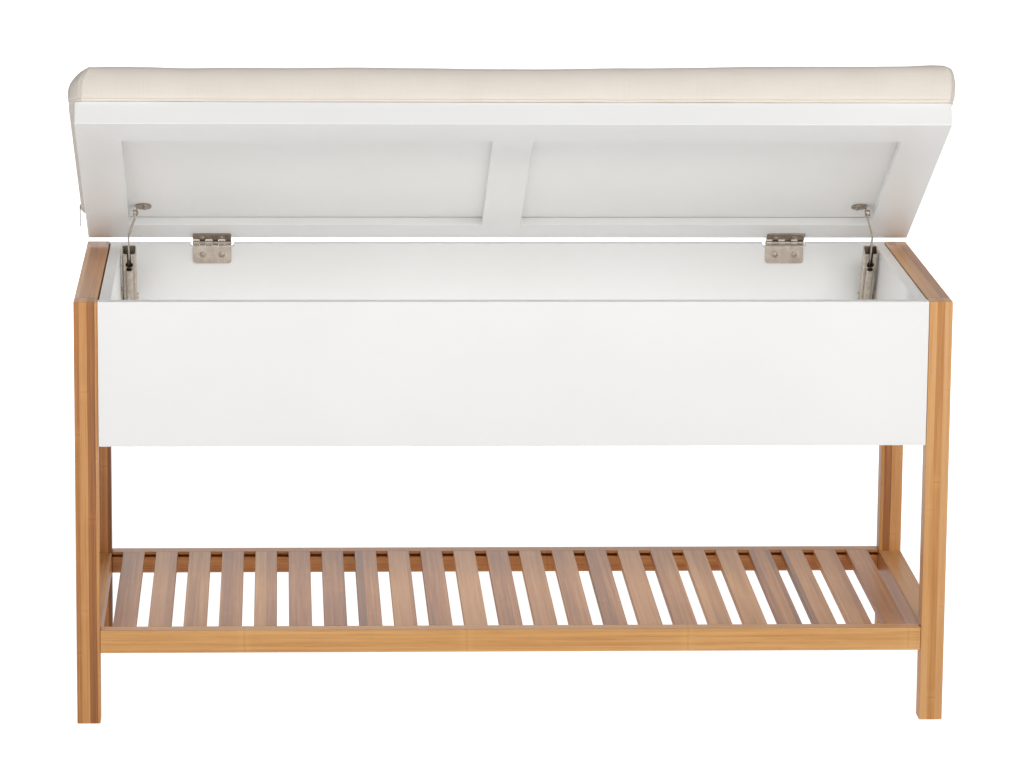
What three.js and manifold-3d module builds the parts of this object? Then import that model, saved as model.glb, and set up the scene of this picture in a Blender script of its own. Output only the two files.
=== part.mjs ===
// A storage bench: a bamboo frame with a slatted shoe shelf, a white lacquered storage box hung
// between its legs, and a padded frame-and-panel lid on two butt hinges and two sprung lid stays.
// Millimetres, +Z up, +X to the sitter's left-to-right, +Y to the back. The lid stands part open.
import * as THREE from "three";
import { mergeVertices } from "three/addons/utils/BufferGeometryUtils.js";
import Module from "manifold-3d";

// ---- Driving dimensions ----
// Bamboo frame
const WIDTH = 900;
const DEPTH = 370;
const FRAME_TOP = 444;
const STOCK = 24; // square bamboo stock of the legs and the side rails
const JOINT_GAP = 0.2; // glue line between neighbouring pieces

// Slatted shelf
const SHELF_TOP = 99;
const LONG_RAIL_DEPTH = 18;
const LONG_RAIL_INSET = 1; // long rails sit this far behind the leg faces
const SLAT_COUNT = 23;
const SLAT_WIDTH = 24;
const SLAT_THICKNESS = 8;
const GROOVE = [92.7, 95.7]; // heights of the groove that runs along each long rail's inner face
const GROOVE_DEPTH = 8;
const TONGUE_CLEARANCE = 0.3; // between a slat's tongue and the groove

// Storage box
const BOX_BOTTOM = 293;
const PANEL = 12; // board thickness
const PANEL_INSET = 1; // front and back boards sit this far inside the leg faces
const SIDE_SHADOW_GAP = 1.5; // gap between a side board and the frame beside it
const FLOOR_BOARD = 9;
const FLOOR_RAISE = 4; // floor board above the lower edge of the walls
const NOTCH_WIDTH = 47; // cut-outs in the back board's top edge, round the hinge barrels
const NOTCH_DEPTH = 4;
const NOTCH_RADIUS = 2;

// Lid
const LID_WIDTH = 897;
const LID_DEPTH = 364;
const LID_THICKNESS = 24;
const LID_OPEN = 28.1; // degrees above level in the modelled pose
const SIDE_STILE = 46;
const CENTRE_STILE = 42;
const FRONT_RAIL = 52;
const REAR_RAIL = 44;
const RECESS = 9; // the infill panels lie this deep in the underside
const INFILL = 8;
const RABBET = 8;

// Cushion and its zip
const CUSHION_WIDTH = 905;
const CUSHION_DEPTH = 371;
const CUSHION_HEIGHT = 39;
const CUSHION_CORNER = 14;
const CUSHION_EDGE = 5;
const CUSHION_REST_GAP = 0.3;
const ZIP_FROM_AXIS = 25; // along the lid, from the hinge axis to the parked slider
const ZIP_HEIGHT = 6; // above the cushion's lower face
const SLIDER = { out: 3.4, long: 10, tall: 6.5 };
const PULL = { thick: 1.2, wide: 4.2, long: 22 };

// Butt hinges
const HINGE_X = 314;
const BARREL_RADIUS = 3;
const PIN_RADIUS = 1.45;
const PIN_HOLE_RADIUS = 1.6;
const LEAF_THICKNESS = 1.2;
const LEAF_LENGTH = 23;
const LEAF_SETBACK = 5; // the leaf's body starts this far from the axis, between its tabs
const LEAF_CORNER = 3;
const LEAF_SEAT = 0.3; // between a leaf and the board that it is screwed to
const KNUCKLES = 6;
const KNUCKLE_PITCH = 7;
const KNUCKLE_LENGTH = 6.7;
const LEAF_SCREW_X = 10.5;
const LEAF_SCREW_DROP = 13.5;
const LEAF_SCREW_HOLE = 2;
const HINGE_RISE = 1; // hinge axis above the rim of the box
const LID_FROM_AXIS = 7; // from the hinge axis to the lid's rear edge

// Lid stays, one inside each end of the box
const FOOT_PIVOT = { y: 338, z: 389 };
const LID_PIVOT = { along: 90, below: 4 }; // in the lid: forward of the hinge axis, and above it
const STAY_CENTRE_X = 403;
const HOUSING = { wide: 15.2, deep: 15.4, wall: 1.2, below: 6, above: 66, slot: 4, corner: 2.5 };
const RIB = { radius: 4, bore: 3.2, forward: 10, below: 4, above: 47 };
const MOUTH_RADIUS = 4.2; // round opening in the housing's front, above the spring tube
const SPRING = { radius: 2.5, wire: 0.4, turns: 11, from: -2, to: 43 };
const ARM = { thick: 1.6, wide: 7, upperX: 395.2, reach: 86, crankFrom: 6, crankTo: 33 };
const PIVOT = { foot: 2.5, footHole: 2.8, lid: 2, lidHole: 2.3, head: 1 };
const FOOT_PLATE = { thick: 1.2, wide: 16, below: 27, above: 9 };
const DISC = { x: 386.3, along: 88, radius: 8.5, thick: 1.2 };
const EAR = { x: 393.4, thick: 1.2, radius: 4 };

// ---- Materials, one slot each ----
const SLOT_LOOKS = {
  bamboo: { color: 0xc99a63, roughness: 0.38, metalness: 0 },
  white_lacquer: { color: 0xf1f0ee, roughness: 0.35, metalness: 0 },
  canvas: { color: 0xe6dacb, roughness: 0.95, metalness: 0 },
  nickel_steel: { color: 0xb3a798, roughness: 0.35, metalness: 0.9 },
  spring_steel: { color: 0x8f8a83, roughness: 0.4, metalness: 0.9 },
  zip_metal: { color: 0xa9a6a2, roughness: 0.4, metalness: 0.9 },
};

// ---- Solids: boolean cuts and joins ----
const wasm = await Module();
wasm.setup();

function toSolid(geometry) {
  const bare = geometry.clone();
  bare.deleteAttribute("normal");
  bare.deleteAttribute("uv");
  const merged = mergeVertices(bare, 1e-4);
  return new wasm.Manifold(
    new wasm.Mesh({
      numProp: 3,
      vertProperties: merged.attributes.position.array,
      triVerts: new Uint32Array(merged.index.array),
    }),
  );
}

function fromSolid(solid) {
  const mesh = solid.getMesh();
  const geometry = new THREE.BufferGeometry();
  const positions = new THREE.BufferAttribute(new Float32Array(mesh.vertProperties), 3);
  geometry.setAttribute("position", positions);
  geometry.setIndex(new THREE.BufferAttribute(new Uint32Array(mesh.triVerts), 1));
  const flat = geometry.toNonIndexed();
  flat.computeVertexNormals();
  return flat;
}

function join(first, ...others) {
  return others.reduce((sum, geometry) => sum.add(toSolid(geometry)), toSolid(first));
}

function cut(solid, ...tools) {
  return tools.reduce((rest, geometry) => rest.subtract(toSolid(geometry)), solid);
}

// ---- Plain shapes ----
function boxGeometry(x, y, z) {
  const geometry = new THREE.BoxGeometry(x[1] - x[0], y[1] - y[0], z[1] - z[0]);
  return geometry.translate((x[0] + x[1]) / 2, (y[0] + y[1]) / 2, (z[0] + z[1]) / 2);
}

// An outline of [u, v] points, extruded from one level to another.
function extrude(shape, from, to, curveSegments = 6) {
  const geometry = new THREE.ExtrudeGeometry(shape, {
    depth: to - from,
    bevelEnabled: false,
    curveSegments,
  });
  return geometry.translate(0, 0, from);
}

// Turns an extrusion so that its outline's u, v lie along Y, Z and its depth along X.
function alongX(geometry) {
  return geometry.rotateX(Math.PI / 2).rotateZ(Math.PI / 2);
}

// Turns an extrusion so that its outline's u, v lie along X, Z and its depth along -Y.
function alongY(geometry) {
  return geometry.rotateX(Math.PI / 2);
}

function polygon(points) {
  return new THREE.Shape(points.map(([u, v]) => new THREE.Vector2(u, v)));
}

function roundedRectangle(u, v, radius) {
  const shape = new THREE.Shape();
  shape.moveTo(u[0] + radius, v[0]);
  shape.lineTo(u[1] - radius, v[0]);
  shape.absarc(u[1] - radius, v[0] + radius, radius, -Math.PI / 2, 0);
  shape.lineTo(u[1], v[1] - radius);
  shape.absarc(u[1] - radius, v[1] - radius, radius, 0, Math.PI / 2);
  shape.lineTo(u[0] + radius, v[1]);
  shape.absarc(u[0] + radius, v[1] - radius, radius, Math.PI / 2, Math.PI);
  shape.lineTo(u[0], v[0] + radius);
  shape.absarc(u[0] + radius, v[0] + radius, radius, Math.PI, 1.5 * Math.PI);
  return shape;
}

function circle(u, v, radius) {
  return new THREE.Path().absarc(u, v, radius, 0, 2 * Math.PI, true);
}

// A round bar along X between two x values, centred on y, z.
function barAlongX(x, y, z, radius, sides = 24) {
  const low = Math.min(...x);
  const high = Math.max(...x);
  const bar = new THREE.CylinderGeometry(radius, radius, high - low, sides);
  return bar.rotateZ(Math.PI / 2).translate((low + high) / 2, y, z);
}

function barAlongZ(x, y, z, radius, sides = 24) {
  const bar = new THREE.CylinderGeometry(radius, radius, z[1] - z[0], sides);
  return bar.rotateX(Math.PI / 2).translate(x, y, (z[0] + z[1]) / 2);
}

function node(name, geometry, slot) {
  const mesh = new THREE.Mesh(geometry, new THREE.MeshStandardMaterial(SLOT_LOOKS[slot]));
  mesh.name = name;
  return mesh;
}

// ---- Bamboo frame ----
const HALF = WIDTH / 2;
const CLEAR_HALF = HALF - STOCK; // from the middle to a leg's inner face
const SIDES = [
  ["left", -1],
  ["right", 1],
];

function span(side, inner, outer) {
  return side < 0 ? [-outer, -inner] : [inner, outer];
}

function makeFrame() {
  const frame = new THREE.Group();
  const railSpan = [STOCK + JOINT_GAP, DEPTH - STOCK - JOINT_GAP];
  for (const [hand, side] of SIDES) {
    const across = span(side, CLEAR_HALF, HALF);
    const add = (name, y, z) => frame.add(node(name, boxGeometry(across, y, z), "bamboo"));
    add(`leg_front_${hand}`, [0, STOCK], [0, FRAME_TOP]);
    add(`leg_back_${hand}`, [DEPTH - STOCK, DEPTH], [0, FRAME_TOP]);
    add(`top_rail_${hand}`, railSpan, [FRAME_TOP - STOCK, FRAME_TOP]);
    add(`shelf_side_rail_${hand}`, railSpan, [SHELF_TOP - STOCK, SHELF_TOP]);
  }
  return frame;
}

// ---- Slatted shelf ----
const SLAT_GAP = (2 * CLEAR_HALF - SLAT_COUNT * SLAT_WIDTH) / (SLAT_COUNT + 1);
const FRONT_RAIL_Y = [LONG_RAIL_INSET, LONG_RAIL_INSET + LONG_RAIL_DEPTH];
const BACK_RAIL_Y = [DEPTH - LONG_RAIL_INSET - LONG_RAIL_DEPTH, DEPTH - LONG_RAIL_INSET];

function slatSpan(index) {
  const start = -CLEAR_HALF + SLAT_GAP + index * (SLAT_WIDTH + SLAT_GAP);
  return [start, start + SLAT_WIDTH];
}

// A board with a tongue at each end, as an outline of [y, z] points.
function makeSlat(index) {
  const x = slatSpan(index);
  const bottom = SHELF_TOP - SLAT_THICKNESS;
  const tongue = [GROOVE[0] + TONGUE_CLEARANCE, GROOVE[1] - TONGUE_CLEARANCE];
  const front = FRONT_RAIL_Y[1] + JOINT_GAP;
  const back = BACK_RAIL_Y[0] - JOINT_GAP;
  const reach = JOINT_GAP + GROOVE_DEPTH - TONGUE_CLEARANCE;
  const outline = polygon([
    [front, bottom],
    [back, bottom],
    [back, tongue[0]],
    [back + reach, tongue[0]],
    [back + reach, tongue[1]],
    [back, tongue[1]],
    [back, SHELF_TOP],
    [front, SHELF_TOP],
    [front, tongue[1]],
    [front - reach, tongue[1]],
    [front - reach, tongue[0]],
    [front, tongue[0]],
  ]);
  return alongX(extrude(outline, x[0], x[1]));
}

// A rail with a groove along its inner face; inward is the direction from outer to inner face.
function makeLongRail(outerY, inward) {
  const innerY = outerY + inward * LONG_RAIL_DEPTH;
  const grooveY = innerY - inward * GROOVE_DEPTH;
  const low = SHELF_TOP - STOCK;
  const outline = polygon([
    [outerY, low],
    [innerY, low],
    [innerY, GROOVE[0]],
    [grooveY, GROOVE[0]],
    [grooveY, GROOVE[1]],
    [innerY, GROOVE[1]],
    [innerY, SHELF_TOP],
    [outerY, SHELF_TOP],
  ]);
  const ends = CLEAR_HALF - JOINT_GAP;
  return alongX(extrude(outline, -ends, ends));
}

function makeShelf() {
  const shelf = new THREE.Group();
  shelf.add(node("shelf_front_rail", makeLongRail(FRONT_RAIL_Y[0], 1), "bamboo"));
  shelf.add(node("shelf_back_rail", makeLongRail(BACK_RAIL_Y[1], -1), "bamboo"));
  for (let index = 0; index < SLAT_COUNT; index++) {
    const number = String(index + 1).padStart(2, "0");
    shelf.add(node(`shelf_slat_${number}`, makeSlat(index), "bamboo"));
  }
  return shelf;
}

// ---- Storage box ----
const WALL_INNER_X = CLEAR_HALF - SIDE_SHADOW_GAP - PANEL; // inner face of a side board
const BACK_INNER_Y = DEPTH - PANEL_INSET - PANEL;
const FRONT_INNER_Y = PANEL_INSET + PANEL;

function makeBackBoard() {
  const half = CLEAR_HALF - JOINT_GAP;
  const low = FRAME_TOP - NOTCH_DEPTH;
  const outline = new THREE.Shape();
  outline.moveTo(-half, BOX_BOTTOM);
  outline.lineTo(half, BOX_BOTTOM);
  outline.lineTo(half, FRAME_TOP);
  for (const centre of [HINGE_X, -HINGE_X]) {
    const right = centre + NOTCH_WIDTH / 2;
    const left = centre - NOTCH_WIDTH / 2;
    outline.lineTo(right, FRAME_TOP);
    outline.lineTo(right, low + NOTCH_RADIUS);
    outline.absarc(right - NOTCH_RADIUS, low + NOTCH_RADIUS, NOTCH_RADIUS, 0, -Math.PI / 2, true);
    outline.lineTo(left + NOTCH_RADIUS, low);
    outline.absarc(left + NOTCH_RADIUS, low + NOTCH_RADIUS, NOTCH_RADIUS, 1.5 * Math.PI, Math.PI, true);
    outline.lineTo(left, FRAME_TOP);
  }
  outline.lineTo(-half, FRAME_TOP);
  return alongY(extrude(outline, 0, PANEL)).translate(0, DEPTH - PANEL_INSET, 0);
}

function makeBox() {
  const box = new THREE.Group();
  const across = [-CLEAR_HALF + JOINT_GAP, CLEAR_HALF - JOINT_GAP];
  const between = [FRONT_INNER_Y + JOINT_GAP, BACK_INNER_Y - JOINT_GAP];
  const walls = [BOX_BOTTOM, FRAME_TOP];
  const front = boxGeometry(across, [PANEL_INSET, FRONT_INNER_Y], walls);
  box.add(node("box_front", front, "white_lacquer"));
  box.add(node("box_back", makeBackBoard(), "white_lacquer"));
  for (const [hand, side] of SIDES) {
    const x = span(side, WALL_INNER_X, WALL_INNER_X + PANEL);
    box.add(node(`box_side_${hand}`, boxGeometry(x, between, walls), "white_lacquer"));
  }
  const floorX = [-WALL_INNER_X + JOINT_GAP, WALL_INNER_X - JOINT_GAP];
  const floorZ = [BOX_BOTTOM + FLOOR_RAISE, BOX_BOTTOM + FLOOR_RAISE + FLOOR_BOARD];
  box.add(node("box_floor", boxGeometry(floorX, between, floorZ), "white_lacquer"));
  return box;
}

// ---- Lid, in its own frame: origin on the hinge axis, -Y forward, +Z out of the seat ----
const UNDERSIDE = BARREL_RADIUS + LEAF_SEAT;
const LID_TOP = UNDERSIDE + LID_THICKNESS;
const LID_REAR_Y = -LID_FROM_AXIS;
const LID_FRONT_Y = LID_REAR_Y - LID_DEPTH;
const OPENING_Y = [LID_FRONT_Y + FRONT_RAIL, LID_REAR_Y - REAR_RAIL];
const OPENING_INNER = CENTRE_STILE / 2;
const OPENING_OUTER = LID_WIDTH / 2 - SIDE_STILE;
const HINGE_AXIS = { y: BACK_INNER_Y - BARREL_RADIUS - LEAF_SEAT, z: FRAME_TOP + HINGE_RISE };

function makeLidFrame() {
  const half = LID_WIDTH / 2;
  const slab = boxGeometry([-half, half], [LID_FRONT_Y, LID_REAR_Y], [UNDERSIDE, LID_TOP]);
  const tools = [];
  for (const [, side] of SIDES) {
    const x = span(side, OPENING_INNER, OPENING_OUTER);
    tools.push(boxGeometry(x, OPENING_Y, [UNDERSIDE - 1, LID_TOP + 1]));
    const wideX = span(side, OPENING_INNER - RABBET, OPENING_OUTER + RABBET);
    const wideY = [OPENING_Y[0] - RABBET, OPENING_Y[1] + RABBET];
    tools.push(boxGeometry(wideX, wideY, [UNDERSIDE + RECESS, LID_TOP + 1]));
  }
  return fromSolid(cut(toSolid(slab), ...tools));
}

function makeInfill(side) {
  const reach = RABBET - JOINT_GAP;
  const x = span(side, OPENING_INNER - reach, OPENING_OUTER + reach);
  const y = [OPENING_Y[0] - reach, OPENING_Y[1] + reach];
  const low = UNDERSIDE + RECESS + JOINT_GAP;
  return boxGeometry(x, y, [low, low + INFILL]);
}

function makeCushion() {
  const half = CUSHION_WIDTH / 2 - CUSHION_EDGE;
  const front = LID_FRONT_Y - 4 + CUSHION_EDGE;
  const rear = front + CUSHION_DEPTH - 2 * CUSHION_EDGE;
  const outline = roundedRectangle([-half, half], [front, rear], CUSHION_CORNER);
  const pad = new THREE.ExtrudeGeometry(outline, {
    depth: CUSHION_HEIGHT - 2 * CUSHION_EDGE,
    bevelThickness: CUSHION_EDGE,
    bevelSize: CUSHION_EDGE,
    bevelSegments: 3,
    curveSegments: 5,
  });
  return pad.translate(0, 0, LID_TOP + CUSHION_REST_GAP + CUSHION_EDGE);
}

// The slider hangs on the cushion's left side, parked near the rear corner.
const SLIDER_FACE_X = -CUSHION_WIDTH / 2 - 0.3;
const ZIP_Z = LID_TOP + CUSHION_REST_GAP + ZIP_HEIGHT;

function makeSlider() {
  const y = [-SLIDER.long / 2, SLIDER.long / 2];
  const z = [-SLIDER.tall / 2, SLIDER.tall / 2];
  const outline = roundedRectangle(y, z, 1.5);
  const body = alongX(extrude(outline, SLIDER_FACE_X - SLIDER.out, SLIDER_FACE_X));
  return body.translate(0, -ZIP_FROM_AXIS, ZIP_Z);
}

// The pull hangs straight down from the slider, in the bench's own frame.
function makePull() {
  const y = [-PULL.wide / 2, PULL.wide / 2];
  const outline = roundedRectangle(y, [-PULL.long, 2], 1.8);
  const outside = SLIDER_FACE_X - SLIDER.out - 0.3;
  return alongX(extrude(outline, outside - PULL.thick, outside));
}

// ---- Butt hinge, along X at its own axis: the leaf hangs to -Z and its back faces +Y ----
function knuckleStart(index) {
  return (index - KNUCKLES / 2) * KNUCKLE_PITCH + (KNUCKLE_PITCH - KNUCKLE_LENGTH) / 2;
}

function leafOutline() {
  const half = (KNUCKLES * KNUCKLE_PITCH) / 2 - (KNUCKLE_PITCH - KNUCKLE_LENGTH) / 2;
  const outline = new THREE.Shape();
  const bottom = -LEAF_LENGTH + LEAF_CORNER;
  outline.moveTo(half, bottom);
  outline.lineTo(half, -LEAF_SETBACK);
  for (let index = KNUCKLES - 2; index >= 0; index -= 2) {
    const start = knuckleStart(index);
    outline.lineTo(start + KNUCKLE_LENGTH, -LEAF_SETBACK);
    outline.lineTo(start + KNUCKLE_LENGTH, 0);
    outline.lineTo(start, 0);
    if (index > 0) outline.lineTo(start, -LEAF_SETBACK);
  }
  outline.lineTo(-half, bottom);
  outline.absarc(-half + LEAF_CORNER, bottom, LEAF_CORNER, Math.PI, 1.5 * Math.PI);
  outline.absarc(half - LEAF_CORNER, bottom, LEAF_CORNER, 1.5 * Math.PI, 2 * Math.PI);
  for (const x of [-LEAF_SCREW_X, LEAF_SCREW_X]) {
    outline.holes.push(circle(x, -LEAF_SCREW_DROP, LEAF_SCREW_HOLE));
  }
  return outline;
}

function makeLeaf() {
  const plate = alongY(extrude(leafOutline(), -BARREL_RADIUS, LEAF_THICKNESS - BARREL_RADIUS));
  let leaf = toSolid(plate);
  for (let index = 0; index < KNUCKLES; index += 2) {
    const start = knuckleStart(index);
    leaf = leaf.add(toSolid(barAlongX([start, start + KNUCKLE_LENGTH], 0, 0, BARREL_RADIUS)));
  }
  const length = KNUCKLES * KNUCKLE_PITCH;
  return fromSolid(cut(leaf, barAlongX([-length, length], 0, 0, PIN_HOLE_RADIUS)));
}

function makePin() {
  const half = (KNUCKLES * KNUCKLE_PITCH) / 2 + 0.4;
  const dome = 0.5;
  const points = [
    [0, -half],
    [PIN_RADIUS - dome, -half],
    [PIN_RADIUS, -half + dome],
    [PIN_RADIUS, half - dome],
    [PIN_RADIUS - dome, half],
    [0, half],
  ];
  const profile = points.map(([radius, along]) => new THREE.Vector2(radius, along));
  return new THREE.LatheGeometry(profile, 24).rotateZ(Math.PI / 2);
}

// ---- Lid stay: a sheet-steel housing that pivots on a foot in the box, and a cranked arm that
// slides in it and pivots on a bracket under the lid. Its own frame runs from foot to lid. ----
const OPEN = THREE.MathUtils.degToRad(LID_OPEN);
const LID_PIVOT_Y = HINGE_AXIS.y - LID_PIVOT.along * Math.cos(OPEN) + LID_PIVOT.below * Math.sin(OPEN);
const LID_PIVOT_Z = HINGE_AXIS.z + LID_PIVOT.along * Math.sin(OPEN) + LID_PIVOT.below * Math.cos(OPEN);
const STAY_LEAN = Math.atan2(FOOT_PIVOT.y - LID_PIVOT_Y, LID_PIVOT_Z - FOOT_PIVOT.z);

function makeHousing(side) {
  const centre = side * STAY_CENTRE_X;
  const halfWide = HOUSING.wide / 2;
  const halfDeep = HOUSING.deep / 2;
  const wide = [centre - halfWide, centre + halfWide];
  const outer = roundedRectangle(wide, [-halfDeep, halfDeep], HOUSING.corner);
  const innerWide = [wide[0] + HOUSING.wall, wide[1] - HOUSING.wall];
  const innerDeep = [-halfDeep + HOUSING.wall, halfDeep - HOUSING.wall];
  const inner = roundedRectangle(innerWide, innerDeep, HOUSING.corner - HOUSING.wall);
  const shell = extrude(outer, -HOUSING.below, HOUSING.above);
  const rib = barAlongZ(centre, -RIB.forward, [-RIB.below, RIB.above], RIB.radius);
  const slotX = [centre - HOUSING.slot / 2, centre + HOUSING.slot / 2];
  const slotZ = [RIB.above, HOUSING.above + 1];
  const mouth = new THREE.CylinderGeometry(MOUTH_RADIUS, MOUTH_RADIUS, 6, 20);
  return fromSolid(
    cut(
      join(shell, rib),
      extrude(inner, -HOUSING.below - 1, HOUSING.above + 1),
      boxGeometry(slotX, [-halfDeep - 1, 0], slotZ),
      mouth.translate(centre, -halfDeep, RIB.above + MOUTH_RADIUS),
      barAlongZ(centre, -RIB.forward, [-RIB.below - 1, RIB.above + 1], RIB.bore),
      barAlongX([wide[0] - 1, wide[1] + 1], 0, 0, PIVOT.footHole),
    ),
  );
}

class Helix extends THREE.Curve {
  constructor(radius, turns, from, to) {
    super();
    Object.assign(this, { radius, turns, from, to });
  }

  getPoint(part, target = new THREE.Vector3()) {
    const angle = 2 * Math.PI * this.turns * part;
    const height = this.from + (this.to - this.from) * part;
    return target.set(this.radius * Math.cos(angle), this.radius * Math.sin(angle), height);
  }
}

function makeSpring(side) {
  const path = new Helix(SPRING.radius, SPRING.turns, SPRING.from, SPRING.to);
  const wire = new THREE.Shape().absarc(0, 0, SPRING.wire, 0, 2 * Math.PI);
  const coil = new THREE.ExtrudeGeometry(wire, {
    steps: SPRING.turns * 12,
    curveSegments: 3,
    extrudePath: path,
  });
  return coil.translate(side * STAY_CENTRE_X, -RIB.forward, 0);
}

function makeArm(side) {
  const half = ARM.thick / 2;
  const sidePoints = (offset) => [
    [side * (ARM.upperX + offset), ARM.wide],
    [side * (ARM.upperX + offset), -ARM.crankFrom],
    [side * (STAY_CENTRE_X + offset), -ARM.crankTo],
    [side * (STAY_CENTRE_X + offset), -ARM.reach],
  ];
  const edge = polygon([...sidePoints(-half), ...sidePoints(half).reverse()]);
  const strip = alongY(extrude(edge, -ARM.wide, ARM.wide));
  const radius = ARM.wide / 2;
  const face = roundedRectangle([-radius, radius], [-ARM.reach, radius], radius - 0.01);
  face.holes.push(circle(0, 0, PIVOT.lidHole));
  const low = ARM.upperX - ARM.wide;
  const high = STAY_CENTRE_X + ARM.wide;
  const [from, to] = span(side, low, high);
  return fromSolid(toSolid(strip).intersect(toSolid(alongX(extrude(face, from, to, 8)))));
}

function makeFootBracket(side) {
  const wall = WALL_INNER_X - JOINT_GAP;
  const half = FOOT_PLATE.wide / 2;
  const outline = roundedRectangle([-half, half], [-FOOT_PLATE.below, FOOT_PLATE.above], 5);
  const [from, to] = span(side, wall - FOOT_PLATE.thick, wall);
  const plate = alongX(extrude(outline, from, to));
  const headFace = STAY_CENTRE_X - HOUSING.wide / 2 - 0.4;
  const stud = barAlongX([side * (headFace - PIVOT.head), side * (wall - 0.5)], 0, 0, PIVOT.foot);
  const head = barAlongX([side * (headFace - PIVOT.head), side * headFace], 0, 0, PIVOT.foot + 1.6);
  return fromSolid(join(plate, stud, head));
}

// In the lid's frame: a screwed-on disc with one edge bent down as an ear, and the arm's rivet.
function makeLidBracket(side) {
  const top = UNDERSIDE + RECESS + JOINT_GAP - 0.3;
  const disc = barAlongZ(side * DISC.x, -DISC.along, [top - DISC.thick, top], DISC.radius, 32);
  const ear = new THREE.Shape();
  ear.moveTo(-LID_PIVOT.along + EAR.radius, top - DISC.thick / 2);
  ear.lineTo(-LID_PIVOT.along - EAR.radius, top - DISC.thick / 2);
  ear.lineTo(-LID_PIVOT.along - EAR.radius, LID_PIVOT.below);
  ear.absarc(-LID_PIVOT.along, LID_PIVOT.below, EAR.radius, Math.PI, 2 * Math.PI);
  const [from, to] = span(side, EAR.x - EAR.thick / 2, EAR.x + EAR.thick / 2);
  const tab = alongX(extrude(ear, from, to));
  const headFace = ARM.upperX + ARM.thick / 2 + 0.3;
  const rivetEnd = headFace + PIVOT.head;
  const y = -LID_PIVOT.along;
  const z = LID_PIVOT.below;
  const rivet = barAlongX([side * (EAR.x - 1.4), side * rivetEnd], y, z, PIVOT.lid);
  const head = barAlongX([side * headFace, side * rivetEnd], y, z, PIVOT.lid + 1.2);
  return fromSolid(join(disc, tab, rivet, head));
}

// ---- Assembly ----
function makeHinges(bench, lid) {
  for (const [hand, side] of SIDES) {
    const place = new THREE.Group();
    place.position.set(side * HINGE_X, HINGE_AXIS.y, HINGE_AXIS.z);
    place.add(node(`hinge_box_leaf_${hand}`, makeLeaf(), "nickel_steel"));
    place.add(node(`hinge_pin_${hand}`, makePin(), "spring_steel"));
    bench.add(place);
    const lidLeaf = makeLeaf().rotateX(Math.PI / 2).rotateZ(Math.PI);
    lidLeaf.translate(side * HINGE_X, 0, 0);
    lid.add(node(`hinge_lid_leaf_${hand}`, lidLeaf, "nickel_steel"));
  }
}

function makeStays(bench, lid) {
  for (const [hand, side] of SIDES) {
    lid.add(node(`stay_lid_bracket_${hand}`, makeLidBracket(side), "nickel_steel"));
    const foot = new THREE.Group();
    foot.position.set(0, FOOT_PIVOT.y, FOOT_PIVOT.z);
    foot.add(node(`stay_foot_${hand}`, makeFootBracket(side), "nickel_steel"));
    const turning = new THREE.Group();
    turning.rotation.x = STAY_LEAN;
    turning.add(node(`stay_housing_${hand}`, makeHousing(side), "nickel_steel"));
    turning.add(node(`stay_spring_${hand}`, makeSpring(side), "spring_steel"));
    foot.add(turning);
    bench.add(foot);
    const arm = node(`stay_arm_${hand}`, makeArm(side), "nickel_steel");
    arm.position.set(0, LID_PIVOT_Y, LID_PIVOT_Z);
    arm.rotation.x = STAY_LEAN;
    bench.add(arm);
  }
}

function makeLid(bench) {
  const lid = new THREE.Group();
  lid.position.set(0, HINGE_AXIS.y, HINGE_AXIS.z);
  lid.rotation.x = -OPEN;
  lid.add(node("lid_frame", makeLidFrame(), "white_lacquer"));
  for (const [hand, side] of SIDES) {
    lid.add(node(`lid_panel_${hand}`, makeInfill(side), "white_lacquer"));
  }
  lid.add(node("seat_cushion", makeCushion(), "canvas"));
  lid.add(node("zip_slider", makeSlider(), "zip_metal"));
  bench.add(lid);
  const pivot = new THREE.Vector3(0, -ZIP_FROM_AXIS, ZIP_Z).applyEuler(lid.rotation);
  const pull = node("zip_pull", makePull(), "zip_metal");
  pull.position.copy(pivot.add(lid.position));
  bench.add(pull);
  return lid;
}

// The origin is under the middle of the whole bench, on the floor.
function centre(bench) {
  bench.updateMatrixWorld(true);
  const middle = new THREE.Box3().setFromObject(bench, true).getCenter(new THREE.Vector3());
  bench.position.set(-middle.x, -middle.y, 0);
}

const bench = new THREE.Group();
bench.add(makeFrame(), makeShelf(), makeBox());
const lid = makeLid(bench);
makeHinges(bench, lid);
makeStays(bench, lid);
centre(bench);

export default bench;
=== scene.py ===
"""The looks of the storage bench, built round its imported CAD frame: camera, floor and light,
procedural materials, rounded edges, screws, the seat cushion and its zip. Metres, +Z up."""
import math

import bmesh
import bpy
import numpy as np
from mathutils import Matrix, Vector, noise


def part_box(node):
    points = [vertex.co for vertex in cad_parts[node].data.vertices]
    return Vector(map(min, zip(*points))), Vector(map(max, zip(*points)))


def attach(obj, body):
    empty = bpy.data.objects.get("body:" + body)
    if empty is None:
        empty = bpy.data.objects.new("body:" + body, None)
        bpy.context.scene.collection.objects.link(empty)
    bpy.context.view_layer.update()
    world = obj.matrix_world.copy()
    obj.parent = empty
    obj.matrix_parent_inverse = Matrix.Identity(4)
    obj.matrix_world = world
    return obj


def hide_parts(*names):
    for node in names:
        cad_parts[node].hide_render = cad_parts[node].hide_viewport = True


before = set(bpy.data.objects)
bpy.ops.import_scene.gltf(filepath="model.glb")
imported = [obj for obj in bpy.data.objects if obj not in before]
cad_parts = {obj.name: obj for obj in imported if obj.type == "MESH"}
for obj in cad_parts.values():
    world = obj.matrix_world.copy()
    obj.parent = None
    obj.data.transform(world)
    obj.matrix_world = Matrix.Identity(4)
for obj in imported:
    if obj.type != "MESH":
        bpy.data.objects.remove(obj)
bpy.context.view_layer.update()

MM = 0.001

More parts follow.
